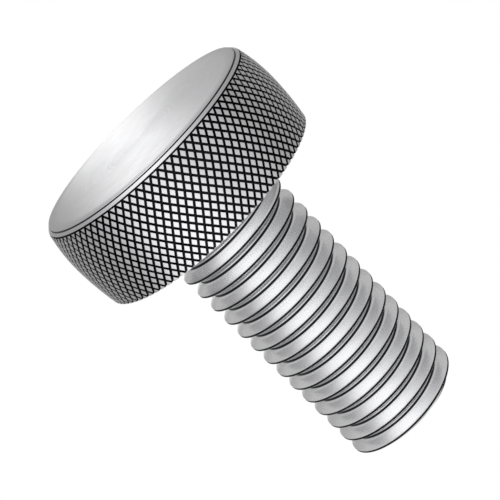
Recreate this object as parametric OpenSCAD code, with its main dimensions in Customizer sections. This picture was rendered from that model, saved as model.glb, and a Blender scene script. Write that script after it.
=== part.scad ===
// Knurled-head thumb screw, turned from one bar, standing on its head.
// The origin is the centre of the head's flat outer face, +Z runs up the shank
// to the tip, and all sizes are in millimetres. The thread is 1/4-28 UNF,
// right-hand. Angles are counted from +X towards +Y.

/* [Head] */
// Largest diameter over the knurl, at the crown
head_d = 12.3; // [11.8:0.1:14]
// Height of the head, from the outer face to the underside
head_h = 4.4; // [3.5:0.1:6]
// Diameter of the flat outer face
face_d = 11.3; // [10.6:0.1:11.6]
// Height of the chamfer round the outer face
chamfer_h = 0.2; // [0.1:0.05:0.3]
// Slope width of that chamfer, measured across the radius
chamfer_w = 0.2; // [0.1:0.05:0.25]
// Height of the crown, where the knurled band is widest
crown_z = 2.3; // [1.8:0.1:2.8]
// Radius that the band loses from the crown to the chamfer
face_drop = 0.28; // [0.1:0.01:0.35]
// Radius that the band loses from the crown to the underside
shank_drop = 0.15; // [0:0.01:0.3]

/* [Knurl] */
// Grooves of each hand round the head
knurl_n = 92; // [48:1:96]
// Half diamonds along the band
knurl_rows = 15; // [9:1:17]
// Depth of the grooves below the diamonds' points
knurl_depth = 0.15; // [0.08:0.01:0.2]

/* [Shank] */
// Major diameter of the thread, which is also the plain neck's diameter
major_d = 6.35; // [6.2:0.05:6.35]
// Pitch of the thread
pitch = 0.907; // [0.7:0.001:1.27]
// Overall length, from the outer face to the tip
total_len = 18.15; // [14:0.05:30]
// Length of the plain neck between the head and the thread
neck_len = 0.5; // [0.3:0.1:1.5]
// Angle at which the groove starts to sink in above the neck
start_a = 90; // [0:5:360]

/* [Hidden] */

// Facets of the true round parts
round_fn = 128;
// How far a piece reaches into its neighbour where they are fused
root_in = 0.4;

// The basic 60 degree thread form: a crest of P/8, a root of P/4 and 5/8 H deep
thread_allow = 0.025;                 // an outside thread runs this much under size
crest_r = major_d / 2 - thread_allow;
crest_w = pitch / 8;
root_w = pitch / 4;
thread_depth = 0.54127 * pitch;
mouth_w = pitch - crest_w;            // width of the groove at the crests

steps = 36;                           // thread segments in a turn
runout = steps / 2;                   // steps over which the groove reaches its depth
fade_min = 0.08;                      // share of the depth at the groove's first step
neck_z = head_h + neck_len;
groove_z = neck_z + root_w / 2 + 0.1;
turns = ceil((total_len - groove_z) / pitch) + 2;
last = turns * steps;                 // last step of the groove, above the tip

// Radius of the knurled band over its diamonds' points at height z
function crown_r(z) =
    let (below = z < crown_z,
         reach = below ? crown_z - chamfer_h : head_h - crown_z,
         drop = below ? face_drop : shank_drop,
         t = (z - crown_z) / reach)
    head_d / 2 - drop * t * t;

// Height of row j of the knurl: row 0 is buried in the chamfered disc
function row_z(j) =
    j == 0 ? chamfer_h / 2
           : chamfer_h + j * (head_h - chamfer_h) / knurl_rows;

// Radius of point i of row j: points and groove crossings take turns
function knurl_r(i, j) =
    let (top = j == 0 ? (face_d + chamfer_w) / 2 - 0.02 : crown_r(row_z(j)))
    top - ((i + j) % 2 == 0 ? knurl_depth : 0);

// One square of the knurl's grid as two triangles, split along its groove
function knurl_cell(i, j, n) =
    let (i2 = (i + 1) % n,
         a = j * n + i,
         b = j * n + i2,
         c = (j + 1) * n + i2,
         d = (j + 1) * n + i)
    (i + j) % 2 == 0 ? [[a, d, c], [a, c, b]] : [[a, d, b], [b, d, c]];

// The knurled band: crossed grooves leave rows of pyramids on a crowned barrel
module knurled_band() {
    n = 2 * knurl_n;
    points = [
        for (j = [0 : knurl_rows]) for (i = [0 : n - 1])
            let (r = knurl_r(i, j), a = 360 * i / n)
            [r * cos(a), r * sin(a), row_z(j)]
    ];
    skin = [
        for (j = [0 : knurl_rows - 1]) for (i = [0 : n - 1])
            each knurl_cell(i, j, n)
    ];
    face_cap = [for (i = [0 : n - 1]) i];
    shank_cap = [for (i = [n - 1 : -1 : 0]) knurl_rows * n + i];
    polyhedron(points, concat([face_cap], skin, [shank_cap]));
}

// The flat outer face with its chamfer
module chamfered_disc() {
    cylinder(h = chamfer_h, d1 = face_d, d2 = face_d + 2 * chamfer_w,
             $fn = round_fn);
}

// The plain neck, at the major diameter, sunk into the head
module neck() {
    translate([0, 0, head_h - root_in])
        cylinder(h = neck_len + root_in, d = major_d, $fn = round_fn);
}

// Share of the full groove depth at step k: it fades in at both ends
function fade(k) =
    min(1, fade_min + k / runout, fade_min + (last - k) / runout);

// The groove's section at step k: mouth edge, two root edges, mouth edge
function groove_section(k) =
    let (f = fade(k),
         mouth = root_w + (mouth_w - root_w) * f,
         root_r = crest_r - thread_depth * f)
    [[crest_r, -mouth / 2], [root_r, -root_w / 2],
     [root_r, root_w / 2], [crest_r, mouth / 2]];

// Point at radius r and height z on step k
function at_step(k, r, z) =
    let (a = start_a + 360 * k / steps)
    [r * cos(a), r * sin(a), z];

// Triangles from one point to each stretch of a rim
function fan(hub, rim) =
    [for (i = [0 : len(rim) - 2]) [hub, rim[i], rim[i + 1]]];

// A right-hand threaded rod with a buried foot, longer than the screw
module threaded_rod() {
    foot_z = neck_z - root_in;
    top_z = groove_z + (turns + 1.5) * pitch;
    spiral = [
        for (k = [0 : last]) for (p = groove_section(k))
            at_step(k, p[0], groove_z + k * pitch / steps + p[1])
    ];
    foot = [for (k = [0 : steps - 1]) at_step(k, crest_r, foot_z)];
    top = [for (k = [0 : steps - 1]) at_step(k, crest_r, top_z)];
    foot_0 = len(spiral);
    top_0 = foot_0 + steps;

    groove = [
        for (k = [0 : last - 1]) for (p = [0 : 2])
            let (a = 4 * k + p)
            each [[a, a + 1, a + 5], [a, a + 5, a + 4]]
    ];
    crest = [
        for (k = [0 : last - steps - 1])
            let (a = 4 * k + 3, b = 4 * (k + steps))
            each [[a, b, b + 4], [a, b + 4, a + 4]]
    ];
    // Plain wall from the foot up to the first turn, closed at the groove's start
    foot_wall = [
        for (k = [0 : steps - 2])
            let (a = foot_0 + k, b = 4 * k)
            each [[a, b, b + 4], [a, b + 4, a + 1]]
    ];
    foot_close = fan(4 * (steps - 1),
                     [4 * steps, 3, 2, 1, 0, foot_0, foot_0 + steps - 1]);
    // Plain wall above the last turn, closed at the groove's end
    turn_0 = 4 * (last - steps) + 3;
    end = 4 * last;
    top_wall = [
        for (k = [1 : steps - 1])
            let (a = turn_0 + 4 * k, b = top_0 + k, c = top_0 + (k + 1) % steps)
            each [[a, b, c], [a, c, a + 4]]
    ];
    top_close = fan(turn_0 + 4,
                    [turn_0, end, end + 1, end + 2, end + 3, top_0, top_0 + 1]);
    foot_cap = [for (k = [0 : steps - 1]) foot_0 + k];
    top_cap = [for (k = [steps - 1 : -1 : 0]) top_0 + k];
    polyhedron(
        concat(spiral, foot, top),
        concat(groove, crest, foot_wall, foot_close, top_wall, top_close,
               [foot_cap, top_cap]));
}

// The threaded shank, cut square at the tip
module threaded_shank() {
    intersection() {
        threaded_rod();
        cylinder(h = total_len, d = 2 * major_d, $fn = round_fn);
    }
}

module thumb_screw() {
    color("silver")
    union() {
        chamfered_disc();
        knurled_band();
        neck();
        threaded_shank();
    }
}

thumb_screw();
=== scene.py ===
"""Looks of the knurled thumb screw: one finished mesh that stands for the CAD
node, its turned metal, the floor, the light and the camera.

The mesh is worked out in millimetres and turned into metres at the end. Angles
run from +X towards +Y, the head's flat face is at z = 0 and the tip points up.
"""

import math

import bmesh
import bpy
from mathutils import Matrix, Vector


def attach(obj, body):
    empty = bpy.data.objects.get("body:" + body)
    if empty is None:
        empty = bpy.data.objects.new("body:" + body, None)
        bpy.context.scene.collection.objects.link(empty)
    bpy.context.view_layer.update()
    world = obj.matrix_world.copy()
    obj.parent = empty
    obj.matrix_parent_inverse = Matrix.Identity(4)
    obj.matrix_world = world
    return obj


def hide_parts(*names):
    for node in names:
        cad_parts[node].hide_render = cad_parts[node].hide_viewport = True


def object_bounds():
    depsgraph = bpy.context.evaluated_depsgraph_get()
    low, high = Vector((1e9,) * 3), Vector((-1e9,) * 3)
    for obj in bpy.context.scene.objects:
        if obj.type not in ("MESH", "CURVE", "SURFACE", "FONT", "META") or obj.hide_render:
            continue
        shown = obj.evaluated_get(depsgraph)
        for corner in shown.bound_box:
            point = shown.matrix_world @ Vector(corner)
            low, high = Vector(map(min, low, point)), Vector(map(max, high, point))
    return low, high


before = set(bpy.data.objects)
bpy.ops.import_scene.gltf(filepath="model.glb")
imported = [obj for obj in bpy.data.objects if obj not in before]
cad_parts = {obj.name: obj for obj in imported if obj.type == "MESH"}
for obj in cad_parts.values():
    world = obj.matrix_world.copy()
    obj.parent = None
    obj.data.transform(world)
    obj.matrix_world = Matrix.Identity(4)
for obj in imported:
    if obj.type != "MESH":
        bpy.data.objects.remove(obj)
cad_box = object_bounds()

MM = 0.001

# ---------------------------------------------------------------- sizes, in mm
# The driving sizes of the CAD model
HEAD_H = 4.4
FACE_R = 5.65
CHAMFER_H = 0.2
RIM_R = 5.85
CROWN_Z = 2.3
FACE_DROP = 0.28
SHANK_DROP = 0.15
KNURL_N = 92
KNURL_ROWS = 15
NECK_R = 3.175
NECK_LEN = 0.5
PITCH = 0.907
THREAD_ALLOW = 0.025
START_A = 90.0

SKIN = 0.004  # how far the finished surface keeps inside the CAD box
TIP_Z = cad_box[1].z / MM - SKIN
HEAD_R = min(cad_box[1].x, cad_box[1].y) / MM - SKIN
NECK_Z = HEAD_H + NECK_LEN
CREST_R = NECK_R - THREAD_ALLOW - SKIN

# The flat face: its rings of points as shares of its radius, and its rounded edge
FLAT_RINGS = (0.1, 0.4, 0.7, 0.9)
FACE_ROUND_R = 0.03
# The fine turned line where the chamfer starts: how far along, how deep, and its shade, painted
# dark in it
TURNED_LINE = ((0.03, 0.0, 0.0), (0.038, 0.012, 1.0), (0.08, 0.012, 1.0), (0.088, 0.0, 0.0))
RIM_ROUND_R = 0.012

# Knurl: shares of a diamond's side, and depths
GROOVE_HALF = 0.175
GROOVE_FLOOR = 0.095
GROOVE_DEPTH = 0.12
DOME = 0.012
EDGE_BREAK = 0.018

# The narrow turned neck between the chamfer and the knurl
RELIEF_W = 0.08
RELIEF_D = 0.07
RELIEF_WALL = 0.3  # the share of its width over which its first wall slopes
RELIEF_END = 0.004  # its last step up to the knurl
KNURL_Z = CHAMFER_H + RELIEF_W

# The clamping face: how far in from the knurl it is plain, its rings of points, and
# the neck's fillet
CLAMP_INSET = 0.12
CLAMP_R = HEAD_R - SHANK_DROP - GROOVE_DEPTH - CLAMP_INSET
CLAMP_RINGS = (4.6, 3.8)
FILLET_R = 0.1

# Thread: the 60 degree form
FLANK = math.tan(math.radians(30))
THREAD_DEPTH = 0.54127 * PITCH
MOUTH_HALF = PITCH * 7 / 16
ROOT_HALF = PITCH / 8
# Its rounded root: how far from the middle, how far above the floor, and its shade, painted dark
# in the root's middle
ROOT_ROUND = ((0.0, 0.0, 1.0), (0.04, 0.002, 1.0), (0.065, 0.006, 0.25), (0.095, 0.014, 0.0))
# Its straight flanks, by their height above the floor, then by their depth
FLANK_FOOT = (0.07, 0.10)
FLANK_TOP = (0.045, 0.02)
CREST_EDGE = (0.006, 0.002)  # past the groove's mouth, and how deep
# The seam along the crest: the distance from its middle as a share of half the
# crest's width, its share of the seam's depth, and its shade, painted dark along the seam
SEAM_DEPTH = 0.022
SEAM = ((0.88, 0.0, 0.6), (0.75, 0.7, 1.0), (0.0, 1.0, 1.0))
START_CLEAR = 0.1  # from the neck to the lower edge of the first groove's floor
GROOVE_START_Z = NECK_Z + ROOT_HALF + START_CLEAR
STEPS = 96
# The groove fades in over half a turn, from a share of its depth and of its width
RUNOUT_STEPS = STEPS // 2
FADE_MIN = 0.02
SPREAD_MIN = 0.3

LATHE_STEPS = 184
ARC_STEPS = 3
FILLET_STEPS = 4
SHARP_ANGLE = math.radians(32)
SNAP = 1e-6

# ------------------------------------------------------------------ the colours
STEEL = (0.585, 0.585, 0.597, 1)
STEEL_DULL = (0.54, 0.54, 0.552, 1)
# The thread's steel, painted lighter than the head's to make up for the light lost between its
# flanks
STEEL_THREAD_LIGHTENED = (0.79, 0.79, 0.80, 1)
# The near-black painted shade in the grooves: the knurl's, the turned lines' and the thread's root
# and seam
PAINTED_GROOVE_SHADE = (0.012, 0.012, 0.014, 1)
PAINTED_ROOT_SHADE = (0.016, 0.016, 0.018, 1)
FLOOR_PALE = (0.74, 0.74, 0.74, 1)

# The shades between which a groove's painted shade starts
KNURL_SHADE_EDGE = (0.58, 0.72)
THREAD_SHADE_EDGE = (0.0, 0.6)

# How much of the duller steel the clouds bring in, at most, on each kind of finish
TURNED_DULL_MOST = 0.8
GROOVED_DULL_MOST = 0.7
DULL_SHARE = 0.92

# The finishes: roughness, how dense the tool's marks are, and the turned ones' stretch
FACE_ROUGHNESS, FACE_MARKS, FACE_STRETCH = 0.29, 8.0, 0.3
SIDE_ROUGHNESS, SIDE_MARKS, SIDE_STRETCH = 0.30, 12.0, 0.2
KNURL_ROUGHNESS, KNURL_MARKS = 0.30, 6.0
THREAD_ROUGHNESS, THREAD_MARKS = 0.27, 14.0
# How far the roughness swings to either side, and how much rougher the painted-shade grooves are
ROUGHNESS_SWING = 0.03
GRAIN_SWING = 0.05
SHADE_ROUGHER = 0.2

# The noises: points to a mm, how many layers, and how strong the finer ones are
TURNED_CLOUD = (0.9, 4.0)
GROOVED_CLOUD = (1.3, 4.0)
GRAIN = (28.0, 2.0)
MARK_DETAIL = 2.0
NOISE_ROUGH = 0.55

# How high the finish's own marks stand, in mm, and how strongly they show
TURNED_BUMP = 0.001
GROOVED_BUMP = 0.008
BUMP_STRENGTH = 0.3
MARK_SHARE = 0.6

# ------------------------------------------------------------------- the studio
# The floor: half its side, its height, where it fades out, and how near a thing
# it lets light through, all in mm
FLOOR_HALF = 400.0
FLOOR_Z = -0.02
FLOOR_FADE = (14.0, 60.0)
FLOOR_CLEAR = (4.0, 40.0)
FLOOR_ROUGHNESS = 0.7

# The backdrop's level at the screw's sides, where 1 is white
STUDIO_SIDES = 0.53
# Where it is brighter: side and lift in degrees, gain, and how tightly it is held
STUDIO_GLOWS = (
    (-85.0, 12.0, 0.80, 1.2),
    (0.0, 90.0, 0.45, 4.0),
    (-76.0, -68.0, 0.60, 4.0),
    (90.0, 20.0, -0.12, 3.0),
)
# The white behind the screw: side and lift, and how far off it ends and starts
STUDIO_BACKDROP = (90.0, 17.1, 26.0, 14.5)

# The softboxes round the screw's middle: side and lift in degrees, size in mm and
# glow, which is what a softbox shows in its own middle, where 1 is white
MIDDLE = (0.0, 0.0, TIP_Z / 2)
LAMP_FAR = 130.0
LAMPS = (
    ("key", (-67.0, 16.0), (250.0, 240.0), 0.75),
    ("sky", (-70.0, 48.0), (420.0, 90.0), 0.42),
    ("under", (-62.0, -68.0), (160.0, 110.0), 0.9),
    ("top", (-120.0, 70.0), (150.0, 150.0), 0.35),
)
# The two that the flat face reflects: place and size in mm, and glow
FACE_LAMPS = (
    ("face", (3.6, 150.0, -30.0), (21.0, 60.0), 1.5),
    ("face_wash", (-7.0, 150.0, -30.0), (30.0, 60.0), 0.42),
)

# The camera: its place in mm, the way it looks and what is up, and its lens
CAMERA_AT = Vector((0.0, -68.962, -13.896))
CAMERA_LOOK = Vector((0.00050, 0.955787, 0.294059))
CAMERA_UP = Vector((-0.704916, 0.208911, -0.677828))
LENS_MM = 113.56
SENSOR_MM = 36.0
CLIP_MM = (1.0, 5000.0)


# ------------------------------------------------------------- mesh in the raw
class Skin:
    """Points, faces and finishes of one closed surface, in millimetres."""

    def __init__(self):
        self.points = []
        self.shades = []
        self.faces = []
        self.finishes = []

    def point(self, r, angle, z, shade=0.0):
        """A point at a radius, an angle in degrees and a height.

        Its shade is painted shade: 0 on bare metal and 1 in the middle of a groove.
        """
        a = math.radians(angle)
        self.points.append((r * math.cos(a), r * math.sin(a), z))
        self.shades.append(shade)
        return len(self.points) - 1

    def face(self, corners, finish):
        self.faces.append(corners)
        self.finishes.append(finish)

    def ring(self, r, z, shade=0.0):
        n = LATHE_STEPS
        return [self.point(r, 360 * i / n, z, shade) for i in range(n)]

    def band(self, low, high, finish):
        """Quads between two rings with the same steps."""
        n = len(low)
        for i in range(n):
            j = (i + 1) % n
            self.face((low[i], low[j], high[j], high[i]), finish)

    def lathe(self, profile, finish, first=None):
        """Rings through a profile of (radius, height, shade), from a first ring if given."""
        last = first
        for spot in profile:
            ring = self.ring(*spot)
            if last is not None:
                self.band(last, ring, finish)
            last = ring
        return last

    def angle(self, i):
        x, y, _ = self.points[i]
        return math.degrees(math.atan2(y, x)) % 360

    def zip_rings(self, one, two, finish):
        """Triangles between two closed rings of any step counts, taken in turn by angle."""
        one = sorted(one, key=self.angle)
        two = sorted(two, key=self.angle)

        def along(ring, i):
            return self.angle(ring[i % len(ring)]) + 360 * (i // len(ring))

        i = j = 0
        while i < len(one) or j < len(two):
            a, b = one[i % len(one)], two[j % len(two)]
            on_one = j >= len(two) or (i < len(one) and along(one, i + 1) <= along(two, j + 1))
            if on_one:
                i += 1
                self.face((a, one[i % len(one)], b), finish)
            else:
                j += 1
                self.face((a, two[j % len(two)], b), finish)

    def zip_columns(self, one, two, lift, finish):
        """Triangles between two rising columns of points, taken in turn by height.

        What is level on the first one stands higher on the second, by the lift.
        """

        def height(column, i):
            return self.points[column[i]][2]

        i, j = 0, 0
        while i < len(one) - 1 or j < len(two) - 1:
            if i == len(one) - 1:
                on_one = False
            elif j == len(two) - 1:
                on_one = True
            else:
                on_one = height(one, i + 1) + lift <= height(two, j + 1)
            if on_one:
                i += 1
                self.face((one[i - 1], one[i], two[j]), finish)
            else:
                j += 1
                self.face((one[i], two[j], two[j - 1]), finish)


TURNED, KNURLED, THREADED, PLAIN = range(4)


def arc(centre, radius, start, end, steps):
    """Points of an arc in the profile's plane, with angles in degrees."""
    angles = [start + (end - start) * i / steps for i in range(steps + 1)]
    return [
        (
            centre[0] + radius * math.cos(math.radians(a)),
            centre[1] + radius * math.sin(math.radians(a)),
        )
        for a in angles
    ]


# ------------------------------------------------------------------- the knurl
def crown_r(z):
    """Radius over the diamonds at height z."""
    below = z < CROWN_Z
    reach = CROWN_Z - CHAMFER_H if below else HEAD_H - CROWN_Z
    drop = FACE_DROP if below else SHANK_DROP
    return HEAD_R - drop * ((z - CROWN_Z) / reach) ** 2


def groove_share(edge):
    """How deep a point lies, as a share of the groove's depth, by how far in from
    the diamond's side it is."""
    return min(1.0, max(0.0, (GROOVE_HALF - edge) / (GROOVE_HALF - GROOVE_FLOOR)))


def dome_drop(s, t):
    """How far a diamond's top falls away from its middle."""
    off = max(abs(2 * s - 1), abs(2 * t - 1))
    return DOME * off**3


def knurl(skin):
    """The crossed grooves, diamond by diamond. Gives the rings at both ends.

    The diamonds' middles are at every other place of a grid of columns and rows.
    s and t run from 0 to 1 along a diamond's sides.
    """
    half = [0, GROOVE_FLOOR, GROOVE_HALF, 0.5]
    cuts = half + [1 - s for s in half[-2::-1]]
    m = len(cuts) - 1
    columns = 2 * KNURL_N
    grid = 10000
    low_z, high_z = KNURL_Z, HEAD_H - EDGE_BREAK
    found = {}

    def vertex(uc, vc, s, t):
        """A diamond's point, which it shares with its neighbours."""
        u, v = uc + s - t, vc + s + t - 1
        key = (round(u * grid) % (columns * grid), round(v * grid))
        if key not in found:
            z = low_z + (high_z - low_z) * v / KNURL_ROWS
            edge = min(s, 1 - s, t, 1 - t)
            r = crown_r(z) - GROOVE_DEPTH * groove_share(edge) - dome_drop(s, t)
            # its shade, which the knurl's material turns into painted shade, grows towards a
            # groove's middle
            found[key] = skin.point(r, 360 * u / columns, z, 1 - 2 * edge)
        return found[key]

    for vc in range(KNURL_ROWS + 1):
        for uc in range(1 - vc % 2, columns, 2):
            for i in range(m):
                for j in range(m):
                    a, b, c, d = (
                        vertex(uc, vc, cuts[p], cuts[q])
                        if 0 <= vc + cuts[p] + cuts[q] - 1 <= KNURL_ROWS
                        else None
                        for p, q in ((i, j), (i + 1, j), (i + 1, j + 1), (i, j + 1))
                    )
                    tips = [x for x in (a, b, c, d) if x is not None]
                    if len(tips) == 3:
                        skin.face(tuple(tips), KNURLED)
                    elif len(tips) == 4 and i == j:
                        skin.face((a, b, c), KNURLED)
                        skin.face((a, c, d), KNURLED)
                    elif len(tips) == 4 and i + j == m - 1:
                        skin.face((a, b, d), KNURLED)
                        skin.face((b, c, d), KNURLED)
                    elif len(tips) == 4:
                        skin.face((a, b, c, d), KNURLED)
    low = [i for (_, v), i in found.items() if v == 0]
    high = [i for (_, v), i in found.items() if v == KNURL_ROWS * grid]
    return low, high


# -------------------------------------------------------------------- the head
def outer_face(skin, knurl_low):
    """The flat face, its chamfer and the ledge that the knurl starts from."""
    reach = FACE_ROUND_R * math.tan(math.radians(22.5))
    face_round = arc((FACE_R - reach, FACE_ROUND_R), FACE_ROUND_R, -90, -45, ARC_STEPS)
    edge = RIM_ROUND_R
    floor_r = RIM_R - RELIEF_D
    rim = [(FACE_R + a - d, a + d, shade) for a, d, shade in TURNED_LINE] + [
        (RIM_R - 2 * edge, CHAMFER_H - 2 * edge),
        (RIM_R - edge / 2, CHAMFER_H - edge / 2),
        (RIM_R - edge / 2, CHAMFER_H + edge / 2),
        # the neck's floor and walls are painted dark, as shade
        (floor_r, CHAMFER_H + RELIEF_WALL * RELIEF_W, 1.0),
        (floor_r, KNURL_Z - RELIEF_END, 1.0),
        (crown_r(KNURL_Z) - GROOVE_DEPTH / 2, KNURL_Z - RELIEF_END / 2, 1.0),
    ]
    centre = skin.point(0, 0, 0)
    flat = [(FACE_R * share, 0) for share in FLAT_RINGS]
    first = skin.ring(*flat[0])
    for i in range(LATHE_STEPS):
        skin.face((centre, first[i], first[(i + 1) % LATHE_STEPS]), TURNED)
    border = skin.lathe(flat[1:] + face_round[:1], TURNED, first)
    ledge = skin.lathe(face_round[1:] + rim, PLAIN, border)
    skin.zip_rings(ledge, knurl_low, PLAIN)


def underside(skin, knurl_high):
    """The clamping face, from the knurl's lower edge to the neck's fillet."""
    edge = sorted(knurl_high, key=skin.angle)
    lip = []
    for i in edge:
        x, y, _ = skin.points[i]
        lip.append(skin.point(math.hypot(x, y) - EDGE_BREAK, skin.angle(i), HEAD_H))
    skin.band(edge, lip, PLAIN)
    fillet = arc((NECK_R + FILLET_R, HEAD_H + FILLET_R), FILLET_R, -90, -180, FILLET_STEPS)
    outer = skin.ring(CLAMP_R, HEAD_H)
    skin.zip_rings(lip, outer, PLAIN)
    return skin.lathe([(r, HEAD_H) for r in CLAMP_RINGS] + fillet, PLAIN, outer)


# ------------------------------------------------------------------ the thread
def thread_form():
    """One pitch of the thread from mid root to mid crest: (offset, depth, shade).

    The root is rounded into the flanks, the crest's edges are broken, and a
    shallow seam runs along the crest, as rolling leaves it. The shade is painted
    shade, dark in the root and along the seam.
    """
    mouth_gap, edge_depth = CREST_EDGE
    crest_half = PITCH / 2 - MOUTH_HALF
    root = [(s, THREAD_DEPTH - rise, shade) for s, rise, shade in ROOT_ROUND]
    flank = [(ROOT_HALF + FLANK * rise, THREAD_DEPTH - rise, 0.0) for rise in FLANK_FOOT]
    flank += [(MOUTH_HALF - FLANK * depth, depth, 0.0) for depth in FLANK_TOP]
    edge = [(MOUTH_HALF + mouth_gap, edge_depth, 0.0)]
    seam = [
        (PITCH / 2 - share * crest_half, depth * SEAM_DEPTH, shade) for share, depth, shade in SEAM
    ]
    return root + flank + edge + seam


def shank(skin, neck_foot):
    """The neck and the right-hand thread, left open above the tip's plane.

    Each row is the thread's form at one step, from the middle of one crest to
    that of the next. The first turn also has the rise from the neck to its crest.
    """
    neck_top = skin.lathe([(NECK_R, NECK_Z - THREAD_ALLOW)], PLAIN, neck_foot)
    half = thread_form()
    form = [(-s, d, e) for s, d, e in half[:0:-1]] + half
    below = [(s - PITCH, d, e) for s, d, e in half[-4:-1]]
    m = len(form) - 1
    turns = math.ceil((TIP_Z - GROOVE_START_Z) / PITCH) + 2
    last = turns * STEPS

    def step_angle(k):
        return START_A + 360 * (k % STEPS) / STEPS

    def spots(k, part):
        """Points across the thread at one step. The crest above a groove that
        still fades in belongs to the full thread a turn further on."""
        grown = min(1.0, FADE_MIN + k / RUNOUT_STEPS)
        z = GROOVE_START_Z + PITCH * k / STEPS
        made = []
        for s, d, e in part:
            fade = 1.0 if s > MOUTH_HALF else grown
            spread = SPREAD_MIN + (1 - SPREAD_MIN) * fade
            made.append(skin.point(CREST_R - d * fade, step_angle(k), z + s * spread, e * fade))
        return made

    rows = [spots(k, form[:m]) for k in range(last + 1)]
    foot = [skin.point(CREST_R, step_angle(k), NECK_Z) for k in range(STEPS)]
    rise = [[foot[k]] + spots(k, below) + rows[k][:1] for k in range(STEPS)]

    def quad(a, b, c, d):
        skin.face((a, b, c, d), THREADED)

    for k in range(last):
        for p in range(m - 1):
            quad(rows[k][p], rows[k + 1][p], rows[k + 1][p + 1], rows[k][p + 1])
    for k in range(last - STEPS):
        up = k + STEPS
        quad(rows[k][-1], rows[k + 1][-1], rows[up + 1][0], rows[up][0])
    for one, two in zip(rise, rise[1:]):
        for p in range(len(one) - 1):
            quad(one[p], two[p], two[p + 1], one[p + 1])
    end = rise[0][:-1] + rows[0] + rows[STEPS][:1]
    skin.zip_columns(rise[-1], end, PITCH / STEPS, THREADED)
    skin.zip_rings(neck_top, foot, PLAIN)


def cut_tip(bm):
    """Cuts the shank square at the tip and closes it with a flat face."""
    everything = bm.verts[:] + bm.edges[:] + bm.faces[:]
    bmesh.ops.bisect_plane(
        bm,
        geom=everything,
        dist=SNAP,
        plane_co=(0, 0, TIP_Z),
        plane_no=(0, 0, 1),
        clear_outer=True,
    )
    rim = [e for e in bm.edges if e.is_boundary]
    cap = bmesh.ops.contextual_create(bm, geom=rim)["faces"]
    for face in cap:
        face.material_index = TURNED
    return bmesh.ops.triangulate(bm, faces=cap)["faces"]


def build_screw():
    """The whole screw as one closed mesh, in metres."""
    skin = Skin()
    low, high = knurl(skin)
    outer_face(skin, low)
    neck_foot = underside(skin, high)
    shank(skin, neck_foot)

    bm = bmesh.new()
    layer = bm.verts.layers.float.new("groove_shade")
    verts = [bm.verts.new(p) for p in skin.points]
    for v, shade in zip(verts, skin.shades):
        v[layer] = shade
    for corners, finish in zip(skin.faces, skin.finishes):
        bm.faces.new([verts[i] for i in corners]).material_index = finish
    tip = cut_tip(bm)
    bmesh.ops.delete(bm, geom=[v for v in bm.verts if not v.link_faces], context="VERTS")
    bmesh.ops.recalc_face_normals(bm, faces=bm.faces[:])
    bmesh.ops.scale(bm, vec=(MM, MM, MM), verts=bm.verts[:])
    for f in bm.faces:
        f.smooth = True
    for f in tip:
        f.smooth = False
    for e in bm.edges:
        e.smooth = e.calc_face_angle(0.0) < SHARP_ANGLE
    open_edges = sum(1 for e in bm.edges if not e.is_manifold)
    print("screw mesh:", len(bm.verts), "points,", len(bm.faces), "faces,", open_edges, "open")
    mesh = bpy.data.meshes.new("thumb_screw_finish")
    bm.to_mesh(mesh)
    bm.free()
    return mesh


# --------------------------------------------------------------- the materials
class Nodes:
    """A node tree, with a short way to add and join nodes."""

    def __init__(self, tree):
        self.tree = tree
        tree.nodes.clear()

    def put(self, socket, value):
        """Joins a socket to another one, or sets its value."""
        if isinstance(value, bpy.types.NodeSocket):
            self.tree.links.new(value, socket)
        else:
            socket.default_value = value

    def node(self, kind, settings=None, **inputs):
        made = self.tree.nodes.new("ShaderNode" + kind)
        for name, value in (settings or {}).items():
            setattr(made, name, value)
        for name, value in inputs.items():
            self.put(made.inputs[name.replace("_", " ")], value)
        return made

    def maths(self, operation, *values):
        made = self.node("Math", {"operation": operation})
        for socket, value in zip(made.inputs, values):
            self.put(socket, value)
        return made.outputs[0]

    def vector(self, operation, one, two=None, output="Vector"):
        made = self.node("VectorMath", {"operation": operation})
        self.put(made.inputs[0], one)
        if two is not None:
            self.put(made.inputs[1], two)
        return made.outputs[output]

    def mix(self, factor, one, two):
        made = self.node("Mix", {"data_type": "RGBA"})
        for i, value in ((0, factor), (6, one), (7, two)):
            self.put(made.inputs[i], value)
        return made.outputs[2]

    def spread(self, value, low, high):
        """A value from 0 to 1 spread over a range."""
        return self.node("MapRange", Value=value, To_Min=low, To_Max=high).outputs[0]

    def ramp(self, value, low, high):
        """0 below one value, 1 above another and smooth between them."""
        smooth = {"interpolation_type": "SMOOTHSTEP"}
        made = self.node("MapRange", smooth, Value=value, From_Min=low, From_Max=high)
        return made.outputs[0]

    def relief(self, height, distance):
        """The normal of fine marks that stand so many millimetres high."""
        made = self.node("Bump", Strength=BUMP_STRENGTH, Distance=distance * MM, Height=height)
        return made.outputs[0]

    def place(self):
        """Object coordinates in millimetres."""
        here = self.node("TexCoord").outputs["Object"]
        return self.vector("MULTIPLY", here, (1 / MM, 1 / MM, 1 / MM))

    def noise(self, place, scale, detail):
        made = self.node(
            "TexNoise", Vector=place, Scale=scale, Detail=detail, Roughness=NOISE_ROUGH
        )
        return made.outputs["Fac"]

    def lines(self, distance, scale):
        """Uneven fine lines across a distance, as a turning tool leaves them."""
        one_way = {"noise_dimensions": "1D"}
        made = self.node("TexNoise", one_way, W=distance, Scale=scale, Detail=MARK_DETAIL)
        return made.outputs["Fac"]

    def painted_shade(self):
        """The painted shade: from 0 on bare metal to 1 in the middle of a groove."""
        return self.node("Attribute", {"attribute_name": "groove_shade"}).outputs["Fac"]

    def blend(self, factor, one, two):
        """One shader blended into another."""
        made = self.node("MixShader", Fac=factor)
        self.tree.links.new(one.outputs[0], made.inputs[1])
        self.tree.links.new(two.outputs[0], made.inputs[2])
        return made

    def finish(self, shader, output="OutputMaterial"):
        self.tree.links.new(shader.outputs[0], self.node(output).inputs["Surface"])


def new_material(name):
    material = bpy.data.materials.new(name)
    material.use_nodes = True
    return material, Nodes(material.node_tree)


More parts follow.
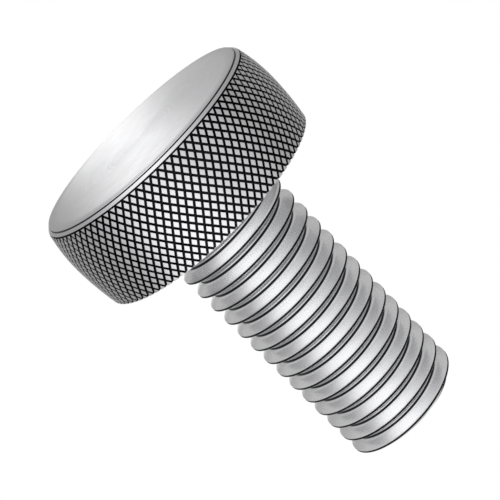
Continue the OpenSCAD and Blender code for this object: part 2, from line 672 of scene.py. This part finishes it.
def turned_metal(name, roughness, marks, stretch, shade_grooves=False):
    """Metal with fine rings round the screw's axis, left by the turning tool.

    Where asked, its grooves are painted dark, as shade.
    """
    material, s = new_material(name)
    place = s.place()
    radius = s.vector("LENGTH", s.vector("MULTIPLY", place, (1, 1, 0)), output="Value")
    height = s.node("SeparateXYZ", Vector=place).outputs["Z"]
    rings = s.lines(s.maths("ADD", radius, height), marks)
    cloud = s.noise(place, *TURNED_CLOUD)
    bare = s.mix(s.spread(cloud, 0.0, TURNED_DULL_MOST), STEEL, STEEL_DULL)
    swing = ROUGHNESS_SWING
    ring_rough = s.spread(rings, roughness - swing, roughness + swing)
    metal = s.node(
        "BsdfPrincipled",
        # painted shade in the turned line and the neck's groove
        Base_Color=s.mix(s.painted_shade(), bare, PAINTED_GROOVE_SHADE) if shade_grooves else bare,
        Metallic=1.0,
        Roughness=s.maths("ADD", ring_rough, s.spread(cloud, -swing, swing)),
        Anisotropic=stretch,
        Normal=s.relief(rings, TURNED_BUMP),
        Tangent=s.node("Tangent", {"direction_type": "RADIAL", "axis": "Z"}).outputs[0],
    )
    s.finish(metal)
    return material


def grooved_metal(name, steel, shade_colour, shade_edge, roughness, marks):
    """Metal whose grooves are duller than its tops, and painted darker as shade."""
    material, s = new_material(name)
    place = s.place()
    shade = s.ramp(s.painted_shade(), *shade_edge)
    cloud = s.noise(place, *GROOVED_CLOUD)
    grain = s.noise(place, *GRAIN)
    dull = tuple(DULL_SHARE * c for c in steel[:3]) + (1,)
    top = s.mix(s.spread(cloud, 0.0, GROOVED_DULL_MOST), steel, dull)
    lines = s.lines(s.node("SeparateXYZ", Vector=place).outputs["Z"], marks)
    shade_rough = s.spread(shade, roughness, roughness + SHADE_ROUGHER)
    metal = s.node(
        "BsdfPrincipled",
        # the grooves are painted dark, as shade
        Base_Color=s.mix(shade, top, shade_colour),
        Metallic=1.0,
        Roughness=s.maths("ADD", shade_rough, s.spread(grain, -GRAIN_SWING, GRAIN_SWING)),
        Normal=s.relief(
            s.maths("MULTIPLY", s.maths("ADD", grain, lines), MARK_SHARE), GROOVED_BUMP
        ),
    )
    s.finish(metal)
    return material


# --------------------------------------------------------------- floor and light
def pale_floor():
    """A pale floor, seen from above only, that fades into the backdrop.

    It lets short rays pass, so that the flat face isn't black where it stands
    and the thread doesn't mirror the floor's brightness.
    """
    material, s = new_material("floor_pale")
    lit = s.node("BsdfPrincipled", Base_Color=FLOOR_PALE, Roughness=FLOOR_ROUGHNESS)
    away = s.vector("LENGTH", s.place(), output="Value")
    near = s.maths("SUBTRACT", 1.0, s.ramp(away, *FLOOR_FADE))
    ray = s.node("LightPath").outputs["Ray Length"]
    solid = s.ramp(ray, FLOOR_CLEAR[0] * MM, FLOOR_CLEAR[1] * MM)
    front = s.maths("SUBTRACT", 1.0, s.node("NewGeometry").outputs["Backfacing"])
    shown = s.maths("MULTIPLY", s.maths("MULTIPLY", solid, front), near)
    s.finish(s.blend(shown, s.node("BsdfTransparent"), lit))
    return material


def add_floor():
    half, z = FLOOR_HALF * MM, FLOOR_Z * MM
    mesh = bpy.data.meshes.new("floor")
    corners = [(-half, -half, z), (half, -half, z), (half, half, z), (-half, half, z)]
    mesh.from_pydata(corners, [], [(0, 1, 2, 3)])
    mesh.materials.append(pale_floor())
    floor = bpy.data.objects.new("floor", mesh)
    bpy.context.scene.collection.objects.link(floor)


def unit(side, lift):
    """The direction at an angle round the screw and a lift above the horizon."""
    a, e = math.radians(side), math.radians(lift)
    return (math.cos(a) * math.cos(e), math.sin(a) * math.cos(e), math.sin(e))


def studio_world():
    """A pale studio, the same for every ray.

    It is white in front of the screw and behind it as the camera sees it, and
    softly greyer at its sides.
    """
    world = bpy.data.worlds.new("studio")
    bpy.context.scene.world = world
    world.use_nodes = True
    s = Nodes(world.node_tree)
    way = s.node("TexCoord").outputs["Generated"]

    def towards(side, lift):
        return s.vector("DOT_PRODUCT", way, unit(side, lift), "Value")

    level = STUDIO_SIDES
    for side, lift, gain, hold in STUDIO_GLOWS:
        facing = s.maths("MAXIMUM", towards(side, lift), 0.0)
        level = s.maths("ADD", s.maths("MULTIPLY", s.maths("POWER", facing, hold), gain), level)
    side, lift, wide, narrow = STUDIO_BACKDROP
    edges = [math.cos(math.radians(angle)) for angle in (wide, narrow)]
    white = s.ramp(towards(side, lift), *edges)
    level = s.maths("MINIMUM", s.maths("MAXIMUM", level, white), 1.0)
    s.finish(s.node("Background", Color=(1, 1, 1, 1), Strength=level), "OutputWorld")


def add_lamp(name, place, aim, size, glow):
    """A softbox that is brightest in its middle, placed and sized in millimetres."""
    data = bpy.data.lights.new(name, "AREA")
    data.shape = "RECTANGLE"
    data.size, data.size_y = size[0] * MM, size[1] * MM
    data.energy = glow * math.pi * data.size * data.size_y
    data.use_nodes = True
    s = Nodes(data.node_tree)
    spot = s.node("SeparateXYZ", Vector=s.node("NewGeometry").outputs["Parametric"]).outputs
    sides = [s.maths("MULTIPLY", t, s.maths("SUBTRACT", 1.0, t)) for t in (spot["X"], spot["Y"])]
    hill = s.maths("MULTIPLY", s.maths("MULTIPLY", *sides), 16.0)  # 1 in its middle
    s.finish(s.node("Emission", Strength=hill), "OutputLight")
    lamp = bpy.data.objects.new(name, data)
    bpy.context.scene.collection.objects.link(lamp)
    lamp.location = Vector(place) * MM
    lamp.rotation_mode = "QUATERNION"
    lamp.rotation_quaternion = (Vector(aim) - Vector(place)).to_track_quat("-Z", "Y")
    lamp.visible_camera = False


def add_lamps():
    for name, way, size, glow in LAMPS:
        add_lamp(name, Vector(MIDDLE) + Vector(unit(*way)) * LAMP_FAR, MIDDLE, size, glow)
    for name, place, size, glow in FACE_LAMPS:
        add_lamp(name, place, (0, 0, 0), size, glow)


# ------------------------------------------------------------------ the camera
def add_camera():
    """The photograph's view: from the head's side, with the tip at the lower right."""
    data = bpy.data.cameras.new("camera")
    data.sensor_width = SENSOR_MM
    data.lens = LENS_MM
    data.clip_start, data.clip_end = (far * MM for far in CLIP_MM)
    camera = bpy.data.objects.new("camera", data)
    bpy.context.scene.collection.objects.link(camera)
    look = CAMERA_LOOK.normalized()
    right = look.cross(CAMERA_UP).normalized()
    up = right.cross(look)
    turn = Matrix((right, up, -look)).transposed()
    camera.matrix_world = Matrix.Translation(CAMERA_AT * MM) @ turn.to_4x4()
    bpy.context.scene.camera = camera


# --------------------------------------------------------------- put it together
def add_screw():
    mesh = build_screw()
    finishes = {
        TURNED: turned_metal("steel_turned_face", FACE_ROUGHNESS, FACE_MARKS, FACE_STRETCH),
        KNURLED: grooved_metal(
            "steel_knurled", STEEL, PAINTED_GROOVE_SHADE, KNURL_SHADE_EDGE, KNURL_ROUGHNESS, KNURL_MARKS
        ),
        THREADED: grooved_metal(
            "steel_threaded", STEEL_THREAD_LIGHTENED, PAINTED_ROOT_SHADE, THREAD_SHADE_EDGE, THREAD_ROUGHNESS, THREAD_MARKS
        ),
        PLAIN: turned_metal(
            "steel_turned_side", SIDE_ROUGHNESS, SIDE_MARKS, SIDE_STRETCH, shade_grooves=True
        ),
    }
    for slot in sorted(finishes):
        mesh.materials.append(finishes[slot])
    screw = bpy.data.objects.new("thumb_screw_finish", mesh)
    bpy.context.scene.collection.objects.link(screw)
    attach(screw, "root")
    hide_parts("thumb_screw")


add_screw()
add_floor()
studio_world()
add_lamps()
add_camera()

bpy.context.scene.view_settings.view_transform = "Standard"
